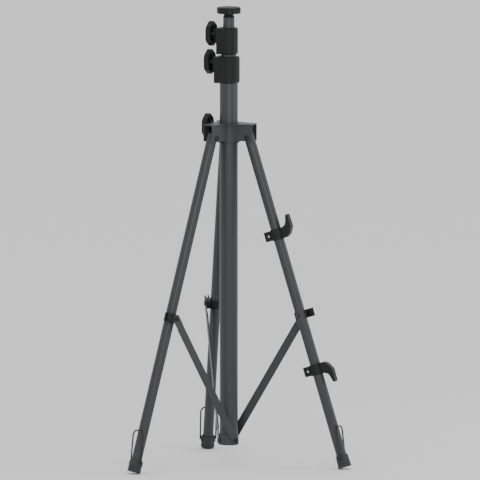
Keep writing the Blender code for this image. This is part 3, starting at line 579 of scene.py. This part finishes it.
def makeKnob(radius, height, look):  # the stem's end is at 0, and the crown at height
    stem, rim, stemRadius = look["stem"], radius - look["rimWall"], look["stemRadius"]
    crown, dish, soft = height - look["dome"], radius * look["dishAt"], look["soft"]
    roof = stem + look["recess"]
    profile = rounded([
        (0, height - look["dish"], 0),
        (dish - look["dishRamp"], height - look["dish"], soft),
        (dish, height, soft),
        (radius * look["domeAt"], height - look["dome"] * look["domeFall"], 0),
        (radius, crown, look["edge"]),
        (radius, stem, look["underEdge"]),
        (rim, stem, look["rimEdge"]),
        (rim - soft, roof, soft),
        (stemRadius + look["flare"], roof, soft),
        (stemRadius, 0, look["stemEdge"]),
        (look["studRoom"], 0, look["mouth"]),
        (look["studRoom"], look["blind"], 0),
        (0, look["blind"], 0),
    ])
    mesh = spun(profile, 2 * look["ribs"], closed=False)
    bm = bmesh.new()
    bm.from_mesh(mesh)
    gripFrom = stemRadius + look["lobeFrom"]
    bandLow = (stem + look["bandRise"]) * look["bandSlack"][0]
    bandHigh = (crown - look["edge"] * look["bandEdge"]) * look["bandSlack"][1]
    for vertex in bm.verts:
        reach = vertex.co.xy.length
        if reach < gripFrom:
            continue
        turn = math.atan2(vertex.co.y, vertex.co.x)
        valley = (0.5 - 0.5 * math.cos(look["lobes"] * turn)) ** look["lobePower"]
        squeeze = 1 - look["lobeDepth"] * valley * min(1, (reach - gripFrom) / look["lobeFade"])
        onBand = reach > radius * look["bandAt"] and bandLow < vertex.co.z < bandHigh
        if onBand and math.cos(look["ribs"] * turn) < 0:
            squeeze -= look["ribDepth"] / radius
        vertex.co.xy *= squeeze
    webs, half = [], look["web"] / 2
    for lobe in range(look["lobes"]):
        web = block(
            (stemRadius - look["webInStem"], -half, stem / 2 + look["webRise"]),
            (rim + soft, half, roof + look["webInRoof"]),
        )
        for vertex in web.vertices:  # the web falls away from the stem to the rim
            if vertex.co.x > rim and vertex.co.z < stem:
                vertex.co.z = stem + look["webAtRim"]
        webs.append(turned(web, Matrix.Rotation(math.tau * lobe / look["lobes"], 4, "Z")))
    return combine(solid(bm), webs)


for prefix in ("lower", "upper", "hub"):
    node, joint = f"{prefix}_clamp_knob", f"{prefix}_knob_turn"
    side = sideSpace(joint)
    low, high = boxIn(side, node)
    stand(node, makeKnob(high.x, high.z - low.z, sideKnob), side @ raised(low.z), smooth=40)
low, high = boxIn(mast, "top_knob")
topMesh = makeKnob(high.x, high.z - low.z, topKnob)
stand("top_knob", topMesh, mast @ raised(low.z), smooth=40)

# Lamp seat

seatLook = {
    "studRoom": 4.3 * mm, "flange": 1.9 * mm, "spigotIn": 1.5 * mm, "rim": 0.4 * mm,
    "washerRim": 0.3 * mm, "washerMouth": 0.2 * mm, "steps": 64,
}
room = seatLook["studRoom"]
low, high = boxIn(mast, "top_plug")
radius, spigot = high.y, high.y - seatLook["spigotIn"]
step = high.z - seatLook["flange"]
stand("top_plug", spun(rounded([
    (radius, high.z, seatLook["rim"]), (radius, step, 0),
    (spigot, step, 0), (spigot, low.z, seatLook["rim"]),
    (room, low.z, 0), (room, high.z, 0),
]), seatLook["steps"]), mast)
low, high = boxIn(mast, "top_washer")
rim, mouth = seatLook["washerRim"], seatLook["washerMouth"]
stand("top_washer", spun(rounded([
    (high.y, high.z, rim), (high.y, low.z, rim), (room, low.z, mouth), (room, high.z, mouth),
]), seatLook["steps"]), mast, slot="black_zinc")
print("knobs and lamp seat made")

# Hub

hubLook = {
    "arm": 13.5 * mm, "cheek": 2.0 * mm, "top": 2.0 * mm, "sleeveWall": 3.2 * mm,
    "sleeveDrop": 4.0 * mm, "sleeveRise": 0.9 * mm, "coverRise": 0.4 * mm, "lip": 0.5 * mm,
    "waist": 30.0 * mm, "boss": 6.6 * mm, "round": 1.2 * mm, "rivetRoom": 3.3 * mm,
    "studRoom": 4.3 * mm, "edge": 0.45 * mm, "steps": 72,
}


def starOutline(armEnd, half, waist):  # an arc sweeps from each arm's corner to the next arm's
    corner = math.hypot(armEnd, half)
    aside = math.radians(60) - math.atan2(half, armEnd)
    middle = (corner ** 2 - waist ** 2) / (2 * (corner * math.cos(aside) - waist))
    radius = abs(middle - waist)
    sweep = math.degrees(math.asin(corner * math.sin(aside) / radius))
    outline = []
    for azimuth in (60, 180, 300):
        turn = math.radians(azimuth)
        center = (middle * math.cos(turn), middle * math.sin(turn))
        outline += arc(center, radius, azimuth + 180 + sweep, azimuth + 180 - sweep, 20)
    return outline


def makeHub(look):
    low, high = boxIn(mast, "hub")
    pivot = mast.inverted() @ legs[1]["leg"].translation
    knobHeight = joints["hub_knob_turn"]["pos_m"][2]
    bottom, top = low.z + look["sleeveDrop"], high.z - look["sleeveRise"]
    bore = boxIn(mast, "outer_tube")[1].y + gap
    sleeve = bore + look["sleeveWall"]
    armEnd = high.x - look["lip"]
    half, inner = look["arm"], look["arm"] - look["cheek"]
    side, inside = half + through, bore - through
    body = spun([
        (sleeve, high.z), (sleeve, low.z), (inside, low.z), (inside, high.z),
    ], look["steps"])
    added = [plate(
        starOutline(armEnd + look["lip"], half + look["lip"], look["waist"]),
        top - look["top"] / 2, top + look["coverRise"],
    )]
    removed = []
    for place in legs.values():
        turn = Matrix.Rotation(place["azimuth"], 4, "Z")
        added.append(turned(block((0, -half, bottom), (armEnd, half, top), look["round"], 0), turn))
        channel = block(
            (sleeve + through, -inner, bottom - through),
            (armEnd + through, inner, top - look["top"]),
        )
        removed.append(turned(channel, turn))
        hole = rod((pivot.x, -side, pivot.z), (pivot.x, side, pivot.z), look["rivetRoom"])
        removed.append(turned(hole, turn))
    added.append(rod((-bore, 0, knobHeight), (low.x, 0, knobHeight), look["boss"]))
    removed.append(rod((0, 0, knobHeight), (low.x - through, 0, knobHeight), look["studRoom"]))
    removed.append(rod((0, 0, low.z - through), (0, 0, high.z + through), bore, look["steps"]))
    return combine(body, added, removed)


stand("hub", makeHub(hubLook), mast, hubLook["edge"])
print("hub made")

# Legs, with their clips, braces, caps and loops

legLook = {
    "wall": 1.0 * mm, "rim": 0.3 * mm, "steps": 56, "slotIn": 6.1 * mm, "slotOut": 3.3 * mm,
    "slotDown": 6.6 * mm, "slotReach": 12 * mm, "slotRound": 2 * mm,
}
clipLook = {
    "prong": 2.35 * mm, "throatFrom": 9.0 * mm, "backRound": 2.0 * mm, "tipRound": 1.1 * mm,
    "throatRound": 1.8 * mm, "bandWall": 1.7 * mm, "wrap": 4.0 * mm, "boltRoom": 2.8 * mm,
    "edge": 0.4 * mm, "steps": 56,
}
braceLook = {
    "sheet": 1.2 * mm, "flange": 1.1 * mm, "fold": 1.5 * mm, "flatEnd": 13.0 * mm,
    "ramp": 12.0 * mm, "boltRoom": 2.8 * mm, "edge": 0.25 * mm,
    "rows": 120, "columns": 24, "crowding": 0.75,
}
capLook = {
    "floor": 5.0 * mm, "seat": 10.3 * mm, "topRadius": 12.0 * mm, "topRound": 0.7 * mm,
    "mouth": 0.4 * mm, "toe": 1.0 * mm, "grooves": 4, "grooveFrom": 2.6 * mm,
    "groovePitch": 2.2 * mm, "grooveDepth": 0.55 * mm, "grooveHalf": 0.6 * mm,
    "grooveFloor": 0.3 * mm, "ridgeRound": 0.15 * mm, "grooveRound": 0.2 * mm,
    "earHalf": 6.0 * mm, "earIn": 1 * mm, "earRise": 5 * mm, "earRound": 2 * mm,
    "pin": 1.8 * mm, "pinSides": 24, "edge": 0.25 * mm, "steps": 64,
}
loopLook = {
    "wire": 1.5 * mm, "corner": 11.0 * mm, "bend": 2 * mm, "pinIn": 2.0 * mm,
    "leanOut": 11.8 * mm, "leanLength": 64 * mm,
}


def makeLegTube(number, space, look):
    tube = makeTube(f"leg_tube_{number}", space, look)
    slot = block(
        (-look["slotIn"], -look["slotReach"], -look["slotDown"]),
        (look["slotOut"], look["slotReach"], look["slotOut"]), look["slotRound"], 1,
    )
    return combine(tube, removed=[slot])


def makeClip(number, space, look):  # a half saddle on the leg, a spacer, and two prongs outwards
    low, high = boxIn(space, f"brace_clip_{number}")
    first, last = low.y + look["prong"], high.y - look["prong"]
    back, tip = look["backRound"], look["tipRound"]
    throat, deep = look["throatFrom"], look["throatRound"]
    outline = rounded([
        (low.x, low.y, back), (high.x, low.y, tip), (high.x, first, tip), (throat, first, deep),
        (throat, last, deep), (high.x, last, tip), (high.x, high.y, tip), (low.x, high.y, back),
    ])
    body = plate(outline, low.z, high.z)
    middle, bore = (low.z + high.z) / 2, low.y
    band = rod((0, 0, low.z), (0, 0, high.z), bore + look["bandWall"], look["steps"])
    room = rod((0, 0, low.z - through), (0, 0, high.z + through), bore, look["steps"])
    hole = rod((0, low.y - through, middle), (0, high.y + through, middle), look["boltRoom"])
    reach = bore + look["bandWall"] + through
    openSide = block(
        (-reach, -reach, low.z - through), (reach, -look["wrap"], high.z + through),
    )
    return combine(body, [band], [room, hole, openSide])


def makeBrace(number, space, look):  # sheet metal, flat at its round ends, with folded lips between
    low, high = boxIn(space, f"brace_{number}")
    half, crowding = high.x, look["crowding"]
    length = high.z - low.z - 2 * half
    fold = look["fold"]
    lip = look["sheet"] + look["flange"] - fold
    developed = half - fold + fold * math.pi / 2 + lip
    bm = bmesh.new()
    bmesh.ops.create_grid(bm, x_segments=look["columns"], y_segments=look["rows"], size=1)
    for vertex in bm.verts:
        across, along = vertex.co.x, (vertex.co.y + 1) / 2
        ease = 0.5 - 0.5 * math.cos(math.pi * along)  # the rows crowd towards the round ends
        height = -half + (length + 2 * half) * ((1 - crowding) * along + crowding * ease)
        end = max(0, -height, height - length)
        inFold = min(height, length - height) - look["flatEnd"]
        bend = min(1, max(0, inFold / look["ramp"]))
        bend = bend * bend * (3 - 2 * bend)
        width = math.sqrt(max(0, half ** 2 - end ** 2)) + (developed - half) * bend
        reach = abs(across) * width
        flat = half - fold
        drop = 0
        if reach > flat and bend > 0:
            angle = min((reach - flat) / fold, math.pi / 2) * bend
            tail = max(0, reach - flat - fold * math.pi / 2)
            out = flat + fold * math.sin(angle) / bend + tail * math.cos(angle)
            drop = fold * (1 - math.cos(angle)) / bend + tail * math.sin(angle)
            reach = min(out, half)
        vertex.co = (math.copysign(reach, across), high.y - drop, height)
    return solid(bm)


def thicken(mesh, thickness):  # towards the side that the sheet's normals turn from
    work = bpy.data.objects.new("work", mesh)
    bpy.context.scene.collection.objects.link(work)
    wall = work.modifiers.new("wall", "SOLIDIFY")
    wall.thickness = thickness
    wall.offset = -1
    graph = bpy.context.evaluated_depsgraph_get()
    made = bpy.data.meshes.new_from_object(work.evaluated_get(graph))
    bpy.data.objects.remove(work)
    return made


def makeCap(number, space, look):
    low, high = boxIn(space, f"foot_cap_{number}")
    bottom, top = high.x, look["topRadius"]
    height = high.z

    def flare(z):
        return bottom + (top - bottom) * z / height

    corners = [(top, height, look["topRound"])]
    for groove in reversed(range(look["grooves"])):
        z = look["grooveFrom"] + look["groovePitch"] * groove
        deep = flare(z) - look["grooveDepth"]
        above, below = z + look["grooveHalf"], z - look["grooveHalf"]
        corners += [
            (flare(above), above, look["ridgeRound"]),
            (deep, z + look["grooveFloor"], look["grooveRound"]),
            (deep, z - look["grooveFloor"], look["grooveRound"]),
            (flare(below), below, look["ridgeRound"]),
        ]
    corners += [
        (bottom, 0, look["toe"]), (0, 0, 0), (0, look["floor"], 0),
        (look["seat"], look["floor"], 0), (look["seat"], height, look["mouth"]),
    ]
    profile = rounded(corners, 2)
    start = profile.index(Vector((0, 0)))
    profile = profile[start + 1:] + profile[:start + 1]
    body = spun(profile, look["steps"], closed=False)
    pin = joints[f"foot_loop_hinge_{number}"]["pos_m"]
    pinHeight = (space.inverted() @ Vector(pin)).z
    ears, holes = [], []
    half, rise = look["earHalf"], look["earRise"]
    for side in (1, -1):
        near, far = sorted((side * (top - look["earIn"]), side * high.y))
        ears.append(block(
            (-half, near, pinHeight - rise), (half, far, pinHeight + rise), look["earRound"], 1,
        ))
        start, end = (0, side * look["seat"], pinHeight), (0, side * (high.y + through), pinHeight)
        holes.append(rod(start, end, look["pin"], look["pinSides"]))
    return combine(body, ears, holes)


def makeLoop(number, space, look):  # bent wire, from ear to ear
    high = boxIn(space, f"foot_loop_{number}")[1]
    wire, corner, bend = look["wire"], look["corner"], look["bend"]
    half, top = high.y - wire, high.z - wire
    side = [(-half + wire + look["pinIn"], 0), *arc((-half + bend, bend), bend, 270, 180, 6)]
    side += arc((-half + corner, top - corner), corner, 180, 90, 14)
    path = side + [(-y, z) for y, z in reversed(side)]
    curve = bpy.data.curves.new("wire", "CURVE")
    curve.dimensions = "3D"
    curve.bevel_depth = wire
    curve.bevel_resolution = 4
    curve.use_fill_caps = True
    spline = curve.splines.new("POLY")
    spline.points.add(len(path) - 1)
    for point, (y, z) in zip(spline.points, path):
        point.co = (0, y, z, 1)
    work = bpy.data.objects.new("work", curve)
    bpy.context.scene.collection.objects.link(work)
    graph = bpy.context.evaluated_depsgraph_get()
    made = bpy.data.meshes.new_from_object(work.evaluated_get(graph))
    bpy.data.objects.remove(work)
    bm = bmesh.new()
    bm.from_mesh(made)
    return solid(bm)


stand("base_collar", makeBaseCollar(baseLook), mast, baseLook["edge"], "tube_paint")
for number, place in legs.items():
    leg, foot, brace = place["leg"], place["foot"], place["brace"]
    stand(f"leg_tube_{number}", makeLegTube(number, leg, legLook), leg)
    stand(f"brace_clip_{number}", makeClip(number, leg, clipLook), leg, clipLook["edge"])
    low, high = boxIn(brace, f"brace_{number}")
    sheet = thicken(makeBrace(number, brace, braceLook), braceLook["sheet"])
    holes = [
        rod((0, low.y - through, z), (0, high.y + through, z), braceLook["boltRoom"])
        for z in (0, low.z + high.z)
    ]
    stand(f"brace_{number}", combine(sheet, removed=holes), brace, braceLook["edge"])
    stand(f"foot_cap_{number}", makeCap(number, foot, capLook), foot, capLook["edge"])
    hinge = foot.inverted() @ Vector(joints[f"foot_loop_hinge_{number}"]["pos_m"])
    lean = math.asin(loopLook["leanOut"] / loopLook["leanLength"])
    swing = foot @ raised(hinge.z) @ Matrix.Rotation(lean, 4, "Y")
    stand(f"foot_loop_{number}", makeLoop(number, swing, loopLook), swing)
print("legs made")

# Cord hooks

hookLook = {  # the horn's corners and their radii are in millimetres, from the leg's axis
    "horn": [
        (11.2, -10, 0), (19, -10, 4), (26, -5.5, 9), (33.5, 7.5, 9), (33, 32, 2), (30.5, 33, 1.2),
        (28.5, 32, 1), (25.7, 21, 5), (22.7, 14.5, 5), (15.5, 11, 4), (11.2, 11, 0),
    ],
    "half": 7.5 * mm, "low": -10.0 * mm, "high": 11.0 * mm, "legRadius": 10.0 * mm,
    "bandWall": 2.2 * mm, "earReach": 26.0 * mm, "earHalf": 9.5 * mm, "earThick": 2.4 * mm,
    "earRound": 1.8 * mm, "eye": 18.5 * mm, "eyeRadius": 2.25 * mm, "eyeReach": 10 * mm,
    "edge": 0.6 * mm, "steps": 56,
}
hookPlaces = {  # down the leg from its rivet, and the turn
    "cord_hook_upper": (195 * mm, 0),
    "cord_hook_lower": (465 * mm, math.pi),
}


def makeHook(look):
    low, high, bore = look["low"], look["high"], look["legRadius"] + gap
    outline = rounded([(x * mm, z * mm, radius * mm) for x, z, radius in look["horn"]], 4)
    upright = Matrix.Rotation(math.pi / 2, 4, "X")
    horn = turned(plate(outline, -look["half"], look["half"]), upright)
    band = rod((0, 0, low), (0, 0, high), bore + look["bandWall"], look["steps"])
    middle = (low + high) / 2
    ear = block(
        (-look["earReach"], -look["earThick"], middle - look["earHalf"]),
        (-bore - gap, look["earThick"], middle + look["earHalf"]), look["earRound"], 1,
    )
    room = rod((0, 0, low - through), (0, 0, high + through), bore, look["steps"])
    eye = rod(
        (-look["eye"], -look["eyeReach"], middle), (-look["eye"], look["eyeReach"], middle),
        look["eyeRadius"],
    )
    return combine(horn, [band, ear], [room, eye])


for node, (down, turn) in hookPlaces.items():
    space = legs[1]["leg"] @ raised(-down) @ Matrix.Rotation(turn, 4, "X")
    stand(node, makeHook(hookLook), space, hookLook["edge"])
print("hooks made")

# The CAD pieces that stay are inside the others

for node, part in frame["nodes"].items():
    if not part.hide_render:
        for materialSlot in part.material_slots:
            materialSlot.material = finishes[slotOf[node]]

# Floor, light and camera

roomLook = {"floor": (0.92, 0.92, 0.92), "roughness": 0.9, "world": 1.0, "size": 40}
lightLook = {  # place, power in watts, width and height
    "keyLight": ((1.3, -2.6, 1.7), 24, 1.2, 1.8),
    "rimLight": ((2.4, 0.6, 1.1), 9, 0.5, 1.8),
}
cameraLook = {  # angles in degrees, distances in metres, lens and sensor in millimetres
    "azimuth": 20, "elevation": 6.7, "distance": 40, "clipEnd": 100,
    "lens": 1556, "sensor": 36, "aside": 21.6 * mm, "height": 435 * mm,
}

bm = bmesh.new()
bmesh.ops.create_grid(bm, x_segments=1, y_segments=1, size=roomLook["size"])
floorMesh = bpy.data.meshes.new("floor")
bm.to_mesh(floorMesh)
bm.free()
floor = bpy.data.objects.new("floor", floorMesh)
bpy.context.scene.collection.objects.link(floor)
paper, shader, _ = newFinish("paper")
shader.inputs["Base Color"].default_value = (*roomLook["floor"], 1)
shader.inputs["Roughness"].default_value = roomLook["roughness"]
floorMesh.materials.append(paper)

world = bpy.data.worlds.new("studio")
world.use_nodes = True
sky = world.node_tree.nodes["Background"]
sky.inputs["Color"].default_value = (1, 1, 1, 1)
sky.inputs["Strength"].default_value = roomLook["world"]
bpy.context.scene.world = world

center = Vector((mast.translation.x, 0, cameraLook["height"]))
for name, (place, power, width, height) in lightLook.items():
    light = bpy.data.lights.new(name, "AREA")
    light.shape = "RECTANGLE"
    light.size, light.size_y = width, height
    light.energy = power
    lamp = bpy.data.objects.new(name, light)
    lamp.location = place
    lamp.rotation_euler = (center - Vector(place)).to_track_quat("-Z", "Y").to_euler()
    bpy.context.scene.collection.objects.link(lamp)

azimuth, elevation = math.radians(cameraLook["azimuth"]), math.radians(cameraLook["elevation"])
level = math.cos(elevation)
back = Vector((math.sin(azimuth) * level, -math.cos(azimuth) * level, math.sin(elevation)))
target = center + Vector((math.cos(azimuth), math.sin(azimuth), 0)) * cameraLook["aside"]
lens = bpy.data.cameras.new("camera")
lens.lens = cameraLook["lens"]
lens.sensor_width = cameraLook["sensor"]
lens.clip_end = cameraLook["clipEnd"]
camera = bpy.data.objects.new("camera", lens)
camera.location = target + back * cameraLook["distance"]
camera.rotation_euler = (-back).to_track_quat("-Z", "Y").to_euler()
bpy.context.scene.collection.objects.link(camera)
bpy.context.scene.camera = camera
